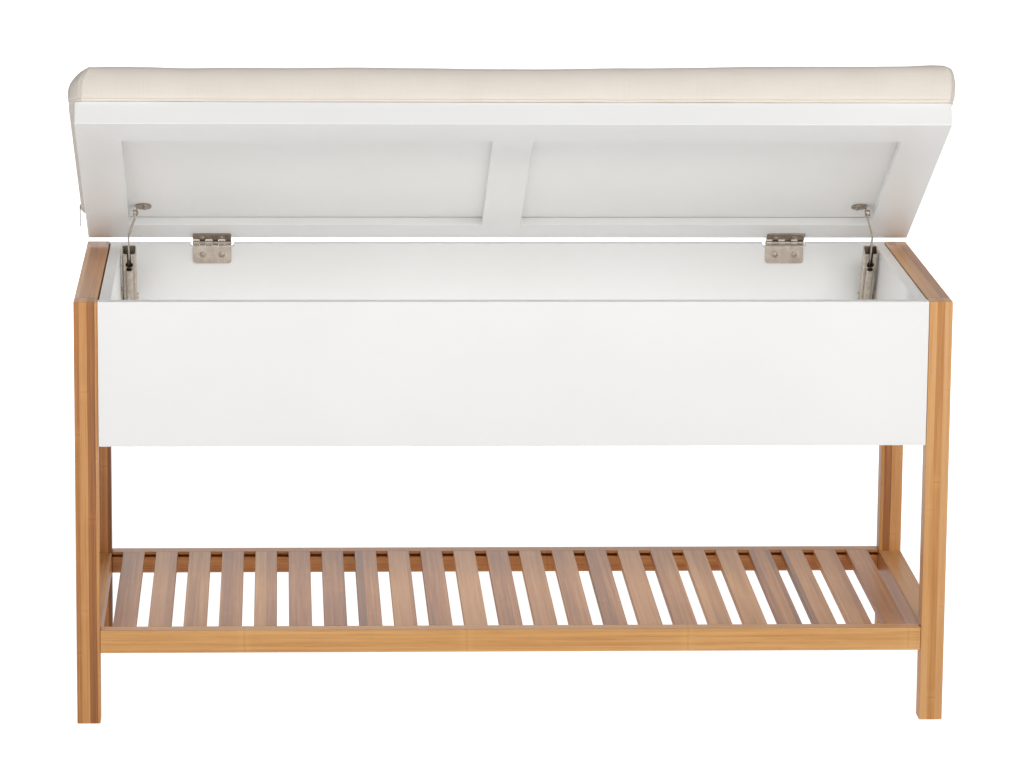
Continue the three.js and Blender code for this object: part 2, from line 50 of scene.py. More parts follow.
# ---- Places that the CAD model settles, in the row frame ----
CENTRE_X = sum(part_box("lid_frame")[i].x for i in (0, 1)) / 2
HINGE_AXIS = Vector((CENTRE_X, 0.163814, 0.445))
LID_OPEN = math.radians(28.1)
LID_FRAME = Matrix.Translation(HINGE_AXIS) @ Matrix.Rotation(-LID_OPEN, 4, "X")

# ---- Camera: at the front, a little to the left, looking slightly down through a long lens ----
CAMERA_PLACE = (-0.2378, -4.8413, 1.2953)
CAMERA_TURN = math.radians(2.926)  # to the right of straight ahead
CAMERA_DOWN = math.radians(11.374)
CAMERA_ROLL = math.radians(0.508)
CAMERA_LENS = 162.97  # mm, on a sensor 36 mm wide


# ======== Node helpers ========
class Graph:
    """Adds nodes to a tree; a socket given as an input is linked, anything else is its value."""

    def __init__(self, tree):
        self.tree = tree

    def add(self, kind, inputs=None, **settings):
        made = self.tree.nodes.new(kind)
        for key, value in settings.items():
            setattr(made, key, value)
        for key, value in (inputs or {}).items():
            if isinstance(value, bpy.types.NodeSocket):
                self.tree.links.new(value, made.inputs[key])
            else:
                made.inputs[key].default_value = value
        return made

    def math(self, operation, first, second=0.0, third=0.0):
        values = {0: first, 1: second, 2: third}
        if operation in ("FLOOR", "FRACT", "ABSOLUTE", "SINE"):
            values = {0: first}
        elif operation != "MULTIPLY_ADD":
            values = {0: first, 1: second}
        return self.add("ShaderNodeMath", values, operation=operation).outputs[0]

    def ramp_between(self, value, low, high, to_low=0.0, to_high=1.0):
        """Smooth step of value from low to high."""
        sockets = {"Value": value, "From Min": low, "From Max": high}
        sockets.update({"To Min": to_low, "To Max": to_high})
        made = self.add("ShaderNodeMapRange", sockets, interpolation_type="SMOOTHSTEP")
        return made.outputs["Result"]

    def vector(self, x, y, z):
        return self.add("ShaderNodeCombineXYZ", {0: x, 1: y, 2: z}).outputs[0]

    def split(self, vector):
        return self.add("ShaderNodeSeparateXYZ", {0: vector}).outputs

    def noise(self, vector, scale=1.0, detail=2.0, roughness=0.5):
        sockets = {"Vector": vector, "Scale": scale, "Detail": detail, "Roughness": roughness}
        return self.add("ShaderNodeTexNoise", sockets).outputs["Fac"]

    def colours(self, value, stops):
        made = self.add("ShaderNodeValToRGB", {"Fac": value})
        ramp = made.color_ramp
        while len(ramp.elements) < len(stops):
            ramp.elements.new(0.5)
        for element, (place, colour) in zip(ramp.elements, stops):
            element.position = place
            element.color = (*colour, 1)
        return made.outputs["Color"]

    def mix(self, factor, first, second):
        made = self.add("ShaderNodeMix", data_type="RGBA", blend_type="MIX")
        for socket, value in ((made.inputs[0], factor), (made.inputs[6], first), (made.inputs[7], second)):
            if isinstance(value, bpy.types.NodeSocket):
                self.tree.links.new(value, socket)
            elif socket.type == "RGBA":
                socket.default_value = (*value, 1)
            else:
                socket.default_value = value
        return made.outputs[2]


class Look(Graph):
    """A material round one Principled shader."""

    def __init__(self, name, **constants):
        self.material = bpy.data.materials.new(name)
        self.material.use_nodes = True
        super().__init__(self.material.node_tree)
        self.shader = self.tree.nodes["Principled BSDF"]
        for key, value in constants.items():
            self.shader.inputs[key.replace("_", " ")].default_value = value

    def object_point(self):
        return self.add("ShaderNodeTexCoord").outputs["Object"]

    def set(self, socket, value):
        self.tree.links.new(value, self.shader.inputs[socket])

    def bump(self, height, strength, distance):
        sockets = {"Height": height, "Strength": strength, "Distance": distance}
        self.set("Normal", self.add("ShaderNodeBump", sockets).outputs[0])


# ======== Bamboo ========
BAMBOO_DARK = (0.26, 0.095, 0.025)
BAMBOO_BROWN = (0.44, 0.158, 0.034)
BAMBOO_MID = (0.60, 0.27, 0.072)
BAMBOO_LIGHT = (0.74, 0.385, 0.128)
BAMBOO_PALE = (0.81, 0.48, 0.20)
BAMBOO_RED = (0.50, 0.18, 0.06)
BAMBOO_DASH = (0.24, 0.09, 0.025)
KNUCKLE_SPACING = 0.23  # along the stalk, before each strip is shifted


def bamboo_group():
    """Laminated bamboo: strips side by side across, fibres along, and knuckles every so often."""
    tree = bpy.data.node_groups.new("bamboo_grain", "ShaderNodeTree")
    for name in ("Across", "Through", "Along", "Seed", "Strip", "Knuckle", "Tone"):
        tree.interface.new_socket(name, in_out="INPUT", socket_type="NodeSocketFloat")
    tree.interface.new_socket("Color", in_out="OUTPUT", socket_type="NodeSocketColor")
    for name in ("Roughness", "Height"):
        tree.interface.new_socket(name, in_out="OUTPUT", socket_type="NodeSocketFloat")
    g = Graph(tree)
    given = g.add("NodeGroupInput").outputs
    across, through, along, seed, strip, knuckle, tone = given[:7]

    # Which strip this is, and what is random about it.
    drift = g.noise(g.vector(seed, 0.0, g.math("MULTIPLY", along, 7.0)), detail=1.0)
    swayed = g.math("MULTIPLY_ADD", drift, 0.0012, across)
    place = g.math("ADD", g.math("DIVIDE", swayed, strip), g.math("MULTIPLY", seed, 0.37))
    number = g.math("FLOOR", place)
    inside = g.math("FRACT", place)
    random = g.add(
        "ShaderNodeTexWhiteNoise",
        {"Vector": g.vector(number, seed, 0.5)},
        noise_dimensions="3D",
    )
    strip_tone = random.outputs["Value"]
    strip_hue, strip_shift, _ = g.split(random.outputs["Color"])
    shift = g.math("MULTIPLY", strip_shift, 41.0)

    def fibre(fine, long, detail):
        x = g.math("MULTIPLY_ADD", across, fine, g.math("MULTIPLY", number, 13.7))
        y = g.math("MULTIPLY_ADD", through, fine, seed)
        z = g.math("MULTIPLY_ADD", along, long, shift)
        return g.noise(g.vector(x, y, z), detail=detail, roughness=0.6)

    fine = fibre(1500.0, 20.0, 3.0)
    streak = fibre(330.0, 4.5, 3.0)
    cloud = fibre(45.0, 5.0, 2.0)
    dash = g.ramp_between(fibre(2300.0, 48.0, 1.0), 0.62, 0.74)

    # Knuckles: a thin bowed dark line with a pale swelling beside it.
    bow = g.noise(g.vector(g.math("MULTIPLY", across, 260.0), g.math("MULTIPLY", through, 260.0), shift))
    bowed = g.math("MULTIPLY_ADD", bow, 0.0022, along)
    turns = g.math("ADD", g.math("DIVIDE", bowed, knuckle), g.math("MULTIPLY", strip_shift, 7.3))
    off_middle = g.math("ABSOLUTE", g.math("SUBTRACT", g.math("FRACT", turns), 0.5))
    away = g.math("MULTIPLY", off_middle, knuckle)
    line = g.ramp_between(away, 0.0003, 0.0016, 1.0, 0.0)
    halo = g.ramp_between(away, 0.002, 0.011, 1.0, 0.0)

    value = g.math("MULTIPLY_ADD", g.math("SUBTRACT", strip_tone, 0.5), 0.62, 0.5)
    value = g.math("ADD", value, tone)
    value = g.math("MULTIPLY_ADD", g.math("SUBTRACT", streak, 0.5), 0.75, value)
    value = g.math("MULTIPLY_ADD", g.math("SUBTRACT", fine, 0.5), 0.45, value)
    value = g.math("MULTIPLY_ADD", g.math("SUBTRACT", cloud, 0.5), 0.35, value)
    value = g.math("MULTIPLY_ADD", halo, 0.06, value)
    value = g.math("MULTIPLY_ADD", line, -0.1, value)
    stops = [(0.0, BAMBOO_DARK), (0.25, BAMBOO_BROWN), (0.5, BAMBOO_MID), (0.75, BAMBOO_LIGHT)]
    colour = g.colours(value, stops + [(1.0, BAMBOO_PALE)])
    redness = g.math("MULTIPLY", g.ramp_between(strip_hue, 0.55, 1.0), 0.3)
    colour = g.mix(redness, colour, BAMBOO_RED)
    colour = g.mix(g.math("MULTIPLY", dash, 0.25), colour, BAMBOO_DASH)

    # Glue line between strips.
    from_middle = g.math("ABSOLUTE", g.math("SUBTRACT", inside, 0.5))
    edge = g.math("MULTIPLY", g.math("SUBTRACT", 0.5, from_middle), strip)
    glue = g.ramp_between(edge, 0.0, 0.0003, 1.0, 0.0)
    colour = g.mix(g.math("MULTIPLY", glue, 0.14), colour, BAMBOO_DASH)

    rough = g.math("MULTIPLY_ADD", fine, 0.16, 0.3)
    height = g.math("MULTIPLY_ADD", dash, -0.5, fine)
    height = g.math("MULTIPLY_ADD", glue, -0.6, height)
    height = g.math("MULTIPLY_ADD", line, 0.5, height)
    given_back = g.add("NodeGroupOutput")
    for key, value in (("Color", colour), ("Roughness", rough), ("Height", height)):
        tree.links.new(value, given_back.inputs[key])
    return tree


BAMBOO = bamboo_group()


def bamboo(name, along, across, seed, strip, tone=0.0):
    """along and across are axis numbers: where the fibres run, and where the strips lie side by side."""
    look = Look(name, Coat_Weight=0.2, Coat_Roughness=0.28, IOR=1.5)
    point = look.split(look.object_point())
    through = 3 - along - across
    made = look.add("ShaderNodeGroup", node_tree=BAMBOO)
    for key, axis in (("Across", across), ("Through", through), ("Along", along)):
        look.tree.links.new(point[axis], made.inputs[key])
    for key, value in (("Seed", seed), ("Strip", strip), ("Knuckle", KNUCKLE_SPACING), ("Tone", tone)):
        made.inputs[key].default_value = value
    look.set("Base Color", made.outputs["Color"])
    look.set("Roughness", made.outputs["Roughness"])
    look.bump(made.outputs["Height"], 0.35, 0.00012)
    return look.material


# ======== White lacquer ========
def white_lacquer(name, seed):
    look = Look(name, IOR=1.5)
    point = look.object_point()
    moved = look.add("ShaderNodeVectorMath", {0: point, 1: (seed, 0, 0)}, operation="ADD").outputs[0]
    cloud = look.noise(moved, 5.0, 4.0)
    speck = look.noise(moved, 900.0, 2.0)
    stops = [(0.3, (0.905, 0.9, 0.885)), (0.7, (0.935, 0.93, 0.92))]
    look.set("Base Color", look.colours(cloud, stops))
    look.set("Roughness", look.math("MULTIPLY_ADD", look.noise(moved, 28.0, 3.0), 0.14, 0.3))
    peel = look.math("MULTIPLY_ADD", speck, 0.3, look.noise(moved, 210.0, 2.0))
    look.bump(peel, 0.12, 0.0002)
    return look.material


# ======== Metals ========
def metal(name, dark, light, rough, brush=(40, 900, 900)):
    """Satin plating: fine brush lines, long where brush is small, cloudy tarnish and tiny pits."""
    look = Look(name, Metallic=1.0)
    point = look.object_point()
    brushed = look.add("ShaderNodeMapping", {"Vector": point, "Scale": brush}).outputs[0]
    lines = look.noise(brushed, 3.0, 3.0)
    tarnish = look.noise(point, 160.0, 4.0)
    pits = look.noise(point, 1900.0, 1.0)
    mixed = look.math("MULTIPLY_ADD", lines, 0.4, look.math("MULTIPLY", tarnish, 0.6))
    look.set("Base Color", look.colours(mixed, [(0.3, dark), (0.7, light)]))
    look.set("Roughness", look.math("MULTIPLY_ADD", lines, 0.2, rough - 0.1))
    look.bump(look.math("ADD", lines, look.math("MULTIPLY", pits, 0.4)), 0.1, 0.0001)
    return look.material


# ======== Canvas ========
THREAD = 0.95 * MM


def canvas(name, light=1.0):
    """A plain weave on UVs in metres: threads over and under, thick and thin, with slubs."""
    look = Look(name, Sheen_Weight=0.25, Sheen_Roughness=0.5)
    uv = look.add("ShaderNodeUVMap", uv_map="cloth").outputs[0]
    wander = look.add("ShaderNodeTexNoise", {"Vector": uv, "Scale": 55.0, "Detail": 2.0}).outputs["Color"]
    sway = look.add("ShaderNodeVectorMath", {0: wander, "Scale": 0.0012}, operation="SCALE").outputs[0]
    warped = look.add("ShaderNodeVectorMath", {0: uv, 1: sway}, operation="ADD").outputs[0]
    u, v, _ = look.split(warped)
    warp = look.math("SINE", look.math("MULTIPLY", u, math.pi / THREAD))
    weft = look.math("SINE", look.math("MULTIPLY", v, math.pi / THREAD))
    over = look.ramp_between(look.math("MULTIPLY", warp, weft), -0.25, 0.25)
    warp_high = look.math("MULTIPLY", look.math("ABSOLUTE", warp), over)
    weft_high = look.math("MULTIPLY", look.math("ABSOLUTE", weft), look.math("SUBTRACT", 1.0, over))
    weave = look.math("ADD", warp_high, weft_high)

    def thick_threads(scale_u, scale_v, seed):
        scaled_u = look.math("MULTIPLY", u, scale_u)
        return look.noise(look.vector(scaled_u, look.math("MULTIPLY", v, scale_v), seed))

    across = thick_threads(30.0, 900.0, 0.0)
    down = thick_threads(900.0, 30.0, 3.0)
    slub = look.math("MULTIPLY", look.math("ADD", across, down), 0.5)
    cloud = look.noise(uv, 16.0, 4.0)
    value = look.math("MULTIPLY_ADD", look.math("SUBTRACT", slub, 0.5), 0.5, 0.5)
    value = look.math("MULTIPLY_ADD", look.math("SUBTRACT", weave, 0.5), 0.12, value)
    value = look.math("MULTIPLY_ADD", look.math("SUBTRACT", cloud, 0.5), 0.4, value)
    stops = [(0.0, (0.76, 0.66, 0.55)), (0.5, (0.92, 0.84, 0.745)), (1.0, (0.96, 0.9, 0.83))]
    scaled = [(place, tuple(c * light for c in colour)) for place, colour in stops]
    look.set("Base Color", look.colours(value, scaled))
    look.set("Roughness", look.math("MULTIPLY_ADD", weave, -0.1, 0.95))
    height = look.math("MULTIPLY_ADD", slub, 0.7, weave)
    look.bump(height, 0.4, 0.0003)
    return look.material


# ======== CAD pieces: materials and rounded edges ========
def smooth_group():
    """Merges doubled corners, then shades smooth except at real edges."""
    tree = bpy.data.node_groups.new("smooth_by_angle", "GeometryNodeTree")
    tree.interface.new_socket("Geometry", in_out="INPUT", socket_type="NodeSocketGeometry")
    tree.interface.new_socket("Geometry", in_out="OUTPUT", socket_type="NodeSocketGeometry")
    g = Graph(tree)
    given = g.add("NodeGroupInput").outputs[0]
    welded = g.add("GeometryNodeMergeByDistance", {"Geometry": given, "Distance": 0.000005}).outputs[0]
    plain = g.add("GeometryNodeRemoveAttribute", {"Geometry": welded, "Name": "custom_normal"}).outputs[0]
    smooth = g.add("GeometryNodeSetShadeSmooth", {0: plain, 2: True}, domain="FACE").outputs[0]
    angle = g.add("GeometryNodeInputMeshEdgeAngle").outputs["Unsigned Angle"]
    sharp = g.math("GREATER_THAN", angle, math.radians(32))
    made = g.add("GeometryNodeSetShadeSmooth", {0: smooth, 1: sharp, 2: False}, domain="EDGE").outputs[0]
    out = g.add("NodeGroupOutput")
    tree.links.new(made, out.inputs[0])
    return tree


SMOOTH = smooth_group()


def finish_cad(name, material, round_by=0.0, whole_faces=False):
    """Gives a CAD node its material, clean shading and, on boards and bars, a rounded edge.

    whole_faces joins the long triangles of a flat board first, so that its rounded edge stays clean.
    """
    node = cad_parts[name]
    node.material_slots[0].material = material
    shading = node.modifiers.new("shading", "NODES")
    shading.node_group = SMOOTH
    if whole_faces:
        flat = node.modifiers.new("whole_faces", "DECIMATE")
        flat.decimate_type = "DISSOLVE"
        flat.angle_limit = math.radians(0.5)
    if round_by:
        edge = node.modifiers.new("edge", "BEVEL")
        edge.width = round_by
        edge.segments = 3
        edge.limit_method = "ANGLE"
        edge.angle_limit = math.radians(40)
        edge.harden_normals = True


X, Y, Z = 0, 1, 2
LEG_ROUND = 0.8 * MM
SLAT_ROUND = 0.7 * MM
BOARD_ROUND = 0.9 * MM
LEG_STRIP = 8 * MM  # laminated strips, three across a leg
LONG_RAIL_STRIP = 60 * MM  # wider than the rail, which shows no glue line
SLAT_STRIP = 12.2 * MM
# Seed of the grain, and how much lighter than average.
LEG_LOOKS = {
    "front_left": (16.7, -0.1),
    "front_right": (11.8, 0.12),
    "back_left": (17.1, -0.36),
    "back_right": (24.1, 0.0),
}


def dress_frame():
    for place, (seed, tone) in LEG_LOOKS.items():
        name = f"leg_{place}"
        finish_cad(name, bamboo(name, Z, X, seed, LEG_STRIP, tone), LEG_ROUND)
    for number, hand in enumerate(("left", "right")):
        for kind, tone in (("top_rail", 0.0), ("shelf_side_rail", 0.02)):
            name = f"{kind}_{hand}"
            seed = 41.3 + 9 * number + len(kind)
            finish_cad(name, bamboo(name, Y, X, seed, LEG_STRIP, tone), LEG_ROUND)
    for name, seed, tone in (("shelf_front_rail", 71.0, 0.36), ("shelf_back_rail", 83.0, 0.0)):
        finish_cad(name, bamboo(name, X, Z, seed, LONG_RAIL_STRIP, tone), LEG_ROUND)
    for number in range(1, 24):
        name = f"shelf_slat_{number:02d}"
        tone = 0.1 * math.sin(5.3 * number) - 0.08
        seed = 103.0 + 5.7 * number
        finish_cad(name, bamboo(name, Y, X, seed, SLAT_STRIP, tone), SLAT_ROUND)


def dress_white():
    names = ["box_front", "box_back", "box_side_left", "box_side_right", "box_floor"]
    names += ["lid_frame", "lid_panel_left", "lid_panel_right"]
    for number, name in enumerate(names):
        lacquer = white_lacquer(f"white_{name}", 2.7 * number)
        finish_cad(name, lacquer, BOARD_ROUND, whole_faces=name != "lid_frame")


def dress_metal():
    nickel = metal("nickel", (0.34, 0.285, 0.235), (0.54, 0.47, 0.40), 0.34)
    sheet = metal("plated_sheet", (0.45, 0.39, 0.33), (0.75, 0.68, 0.60), 0.32, (900, 900, 30))
    spring = metal("spring_wire", (0.32, 0.30, 0.28), (0.55, 0.52, 0.49), 0.4, (300, 300, 300))
    # A darker copy of the nickel for the lid's hinge leaves and stay brackets: painted shade and painted
    # reflection of the dark inside of the box.
    shaded_nickel = metal("nickel_painted_shade", (0.26, 0.21, 0.17), (0.46, 0.39, 0.33), 0.34)
    for hand in ("left", "right"):
        finish_cad(f"hinge_box_leaf_{hand}", nickel)
        finish_cad(f"hinge_lid_leaf_{hand}", shaded_nickel)
        finish_cad(f"stay_lid_bracket_{hand}", shaded_nickel)
        for part in ("stay_foot", "stay_housing", "stay_arm"):
            finish_cad(f"{part}_{hand}", sheet)
        for part in ("hinge_pin", "stay_spring"):
            finish_cad(f"{part}_{hand}", spring)
    zip_metal = metal("zip_plating", (0.30, 0.29, 0.28), (0.48, 0.47, 0.46), 0.38, (300, 300, 40))
    finish_cad("zip_slider", zip_metal, 0.5 * MM)
    finish_cad("zip_pull", zip_metal)
    return nickel, zip_metal


# ======== Seat cushion ========
def lid_extent(name):
    """Lowest and highest corner of a node in the lid's own frame: -Y forward, +Z out of the seat."""
    inverse = LID_FRAME.inverted()
    points = np.array([inverse @ v.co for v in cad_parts[name].data.vertices])
    return points.min(0), points.max(0)


def ease(value, low, high):
    """0 below low, 1 above high, smooth between."""
    part = min(1.0, max(0.0, (value - low) / (high - low)))
    return part * part * (3 - 2 * part)


NEAR_STEP = 1.3 * MM  # between mesh lines in the zone next to each end
END_ZONE = 30 * MM
FAR_STEP = 6.5 * MM
TOP_INSET = 9.5 * MM  # how far the flat upper grid stays in from the nominal face
BOTTOM_INSET = 5.6 * MM
LEFT_CORNER = 17 * MM
RIGHT_CORNER = 13 * MM
PULL_IN = 2.4 * MM
CROWN = 5 * MM
LOWER_SEAM = 0.066  # share of the height
SEAM_WIDE = 0.9 * MM
SEAM_DEEP = 1.2 * MM
SEAM_WAVE = 0.6 * MM  # how far the lower seam wanders up and down
SEAM_SHIFT = 8.5 * MM  # the front left corner seam sits this far round on the front
PUCKER = 0.38 * MM  # beside the corner seams
GATHER = 0.35 * MM  # above the lower seam
WRINKLE = 0.7 * MM
FOLD = 2.6 * MM  # the upper panel's folds at its corners
DENT = 1.2 * MM
DENT_PLACE = -0.75  # of the half width

# The wall from below to above: outward from the nominal face in mm, and share of the height.
WALL = (
    (-3.6, 0.0), (-1.6, 0.01), (-0.4, 0.022), (0.05, 0.038), (-0.05, 0.052), (-0.65, 0.066),
    (-0.1, 0.08), (0.4, 0.115), (0.8, 0.16), (1.25, 0.23), (1.6, 0.31), (1.8, 0.40), (1.75, 0.50),
    (1.4, 0.60), (0.7, 0.70), (-0.3, 0.79), (-1.7, 0.87), (-3.6, 0.935), (-6.3, 0.98),
)
# The left end stands out low down and leans in above at the slack front corner; the right end
# is fuller above. Both as share of the height, and mm outward.
LEAN_HEIGHTS = (0.0, 0.13, 0.39, 0.65, 0.88, 1.0)
LEAN_LEFT = (2.0, 2.6, 0.3, -1.6, -6.5, -10.5)
LEAN_RIGHT = (-1.2, -0.2, 0.4, 1.2, 2.2, 2.6)
FULL_LEFT = 2.2 * MM
FULL_RIGHT = 3 * MM
LEFT_LIMIT = -455.8 * MM  # clear of the swinging pull, from the lid's centre line

# The zip, in the lid's own frame with x from its centre line.
ZIP_RUN = (-344 * MM, -15 * MM)
ZIP_HEIGHT = 33.6 * MM
ZIP_GROUND = -451.7 * MM  # the cover behind the tapes
LIP_TOP = 29.1 * MM
LIP_OUT = -455.3 * MM
LIP_START = (-366 * MM, -352 * MM)  # it grows out from the first to the second
LIP_END = (-30 * MM, -12 * MM)


def line_places(half):
    """Mesh lines from -half to half, close together near both ends."""
    near = round(END_ZONE / NEAR_STEP)
    inner = half - END_ZONE
    far = round(2 * inner / FAR_STEP)
    ends = [END_ZONE * k / near for k in range(near)]
    places = [-half + end for end in ends] + [inner * (2 * k / far - 1) for k in range(far + 1)]
    return places + [half - end for end in reversed(ends)]


def corner_radius(side):
    """Plan radius of a corner of the cushion: side is below 0 on the left."""
    return LEFT_CORNER if side < 0 else RIGHT_CORNER


def plan_point(s, t, half_x, half_y):
    """A point of the flat plan, s and t from -1 to 1, with its corners rounded."""
    x, y = s * half_x, t * half_y
    radius = corner_radius(s)
    p = (abs(x) - half_x + radius) / radius
    q = (abs(y) - half_y + radius) / radius
    if p > 0 and q > 0:
        x = math.copysign(half_x - radius + radius * p * math.sqrt(1 - q * q / 2), x)
        y = math.copysign(half_y - radius + radius * q * math.sqrt(1 - p * p / 2), y)
    return x, y


def wave(x, y, z, seed):
    return noise.noise(Vector((x, y, z + seed)))


def bump_at(distance, width):
    return math.exp(-((distance / width) ** 2))


def corner_folds(x, y, half_x, half_y):
    """Soft folds of the upper panel that run in from each corner."""
    total = 0.0
    for side, end, seed in ((-1, -1, 5.0), (1, -1, 9.0), (1, 1, 14.0), (-1, 1, 21.0)):
        across, along = half_x - side * x, half_y - end * y
        reach = math.hypot(across, along)
        angle = math.atan2(along, across)
        total += wave(angle * 3.4, reach * 5, 0, seed) * bump_at(reach - 62 * MM, 45 * MM)
    return total


class Cushion:
    """The cover as one closed mesh: upper grid, wall with its seams, lower grid."""

    def __init__(self):
        low, high = lid_extent("seat_cushion")
        self.middle = (low + high) / 2
        self.low = low
        self.half_x = (high[0] - low[0]) / 2
        self.half_y = (high[1] - low[1]) / 2
        self.height = high[2] - low[2]
        self.xs = line_places(self.half_x)
        self.ys = line_places(self.half_y)
        self.mesh = bmesh.new()
        self.uv = self.mesh.loops.layers.uv.new("cloth")
        self.verts = {}
        self.flat = {}
        self.follow_rim()
        self.grid("top", self.height, TOP_INSET)
        self.grid("bottom", 0.0, BOTTOM_INSET)
        self.wall()
        self.sew()

    def nominal(self, i, j, inset=0.0):
        s, t = self.xs[i] / self.half_x, self.ys[j] / self.half_y
        return plan_point(s, t, self.half_x - inset, self.half_y - inset)

    def follow_rim(self):
        """The way round the rim, counter-clockwise from the front left, and the distance to the seams."""
        columns, rows = len(self.xs) - 1, len(self.ys) - 1
        steps = [(i, 0) for i in range(columns)] + [(columns, j) for j in range(rows)]
        steps += [(i, rows) for i in range(columns, 0, -1)] + [(0, j) for j in range(rows, 0, -1)]
        self.rim = steps
        points = [Vector((*self.nominal(i, j), 0)) for i, j in steps]
        count = len(points)
        self.points = points
        self.outward, self.run = [], [0.0]
        for k in range(count):
            after = points[(k + 1) % count]
            along = (after - points[k - 1]).normalized()
            self.outward.append(Vector((along.y, -along.x, 0)))
            self.run.append(self.run[-1] + (after - points[k]).length)
        total = self.run[-1]
        corners = [0, columns, columns + rows, 2 * columns + rows]
        shifts = (SEAM_SHIFT, 0.0, 0.0, 0.0)
        seams = [self.run[k] + shift for k, shift in zip(corners, shifts)]
        self.seams = seams
        self.from_seam = []
        for k in range(count):
            gaps = [(self.run[k] - seam + total / 2) % total - total / 2 for seam in seams]
            self.from_seam.append(min(gaps, key=abs))

    def shaped(self, x, y, z):
        """Crown, sides drawn in between the corners, the slack corner, dents and waves."""
        s, t, up = x / self.half_x, y / self.half_y, z / self.height
        crown = (1 - abs(s) ** 12) * (1 - abs(t) ** 3)
        lift = CROWN * crown + 1.3 * MM * wave(x * 9, y * 9, 0, 4.0) + MM * wave(x * 14, y * 3, 0, 11.0)
        lift += FULL_RIGHT * ease(s, 0.36, 0.56) * (1 - 0.3 * ease(s, 0.9, 1.0))
        lift -= DENT * bump_at(s - DENT_PLACE, 0.11)
        lift += FOLD * corner_folds(x, y, self.half_x, self.half_y)
        x_new, y_new = x, y
        if abs(s) > 0.5:
            x_new -= math.copysign(PULL_IN * (1 - abs(t) ** 3) * ease(abs(s), 0.9, 1.0), s)
        if abs(t) > 0.4:
            y_new -= math.copysign(PULL_IN * (1 - abs(s) ** 5) * ease(abs(t), 0.8, 1.0), t)
        slack = bump_at(x + self.half_x, 17 * MM) * bump_at(y + self.half_y, 90 * MM)
        lean = float(np.interp(up, LEAN_HEIGHTS, LEAN_LEFT)) * MM * slack
        full = bump_at(x + self.half_x, 30 * MM) * bump_at(up - 0.45, 0.3) * ease(-t, -0.9, 0.2)
        lean += FULL_LEFT * full
        right = bump_at(x - self.half_x, 40 * MM)
        bulge = float(np.interp(up, LEAN_HEIGHTS, LEAN_RIGHT)) * MM * right
        slack_drop = 0.4 * MM * slack
        return Vector((x_new - lean + bulge, y_new + 0.2 * min(lean, 0.0), z + up * (lift - slack_drop)))

    def grid(self, key, z, inset):
        for i in range(len(self.xs)):
            for j in range(len(self.ys)):
                x, y = self.nominal(i, j, inset)
                vert = self.mesh.verts.new(self.shaped(x, y, z))
                self.verts[key, i, j] = vert
                self.flat[vert] = (x, y)

    def ruffle(self, k, up):
        """How far the wall stands out: corner seams with puckers beside them, gathers, wrinkles."""
        gap = self.from_seam[k]
        x, y, _ = self.points[k]
        fade = ease(up, LOWER_SEAM, 0.12) * (1 - ease(up, 0.8, 0.93))
        seam = -SEAM_DEEP * bump_at(gap, SEAM_WIDE) + 0.3 * MM * bump_at(abs(gap) - 2.4 * MM, 1.2 * MM)
        sway = 9 * wave(x * 60, y * 60, 0, 31.0)
        pucker = math.sin(up * self.height / MM * 1.25 + sway) * math.exp(-abs(gap) / (9 * MM))
        drawn = wave(x * 170, y * 170, up * 1.5, 7.0) * bump_at(up - 0.12, 0.16)
        wrinkle = wave(x * 26, y * 26, up * 1.3, 19.0) * ease(up, 0.02, 0.2)
        return fade * (seam + PUCKER * pucker) + GATHER * drawn + WRINKLE * wrinkle

    def beside_zip(self, place):
        """On the left side the cover lies flat behind the zip's tapes, over a lip that stands out."""
        y = place.y + self.middle[1]
        z = place.z + self.low[2]
        along = ease(y, ZIP_RUN[0] - 12 * MM, ZIP_RUN[0]) * (1 - ease(y, ZIP_RUN[1], ZIP_RUN[1] + 8 * MM))
        level = 1 - ease(abs(z - ZIP_HEIGHT), 4.6 * MM, 8 * MM)
        part = along * level if place.x < -0.9 * self.half_x else 0.0
        place.x += (ZIP_GROUND - place.x) * part
        lip = 1 - ease(z, LIP_TOP - 0.3 * MM, LIP_TOP + 0.5 * MM)
        side = ease(-place.x, 0.97 * self.half_x, 0.985 * self.half_x)
        lip_run = ease(y, *LIP_START) * (1 - ease(y, *LIP_END))
        place.x += (LIP_OUT - place.x) * lip * side * lip_run
        place.x = max(place.x, LEFT_LIMIT)

    def wall(self):
        for k, point in enumerate(self.points):
            for w, (out, share) in enumerate(WALL):
                flat = point + self.outward[k] * out * MM
                place = self.shaped(flat.x, flat.y, share * self.height)
                place += self.outward[k] * self.ruffle(k, share)
                seam_wave = SEAM_WAVE * wave(flat.x * 22, flat.y * 22, 0, 2.0)
                place.z += seam_wave * bump_at(share - LOWER_SEAM, 0.1)
                self.beside_zip(place)
                self.verts["wall", k, w] = self.mesh.verts.new(place)

    def on_side(self, k):
        """True between the corner seams of the left and of the right end, where the canvas is darkened as
        painted shade.
        """
        middle = (self.run[k] + self.run[k + 1]) / 2
        front_left, front_right, back_right, back_left = self.seams
        return middle < front_left or front_right < middle < back_right or middle > back_left

    def face(self, corners, uvs, panel=0):
        made = self.mesh.faces.new(corners)
        made.material_index = panel
        made.smooth = True
        for loop, uv in zip(made.loops, uvs):
            loop[self.uv].uv = uv

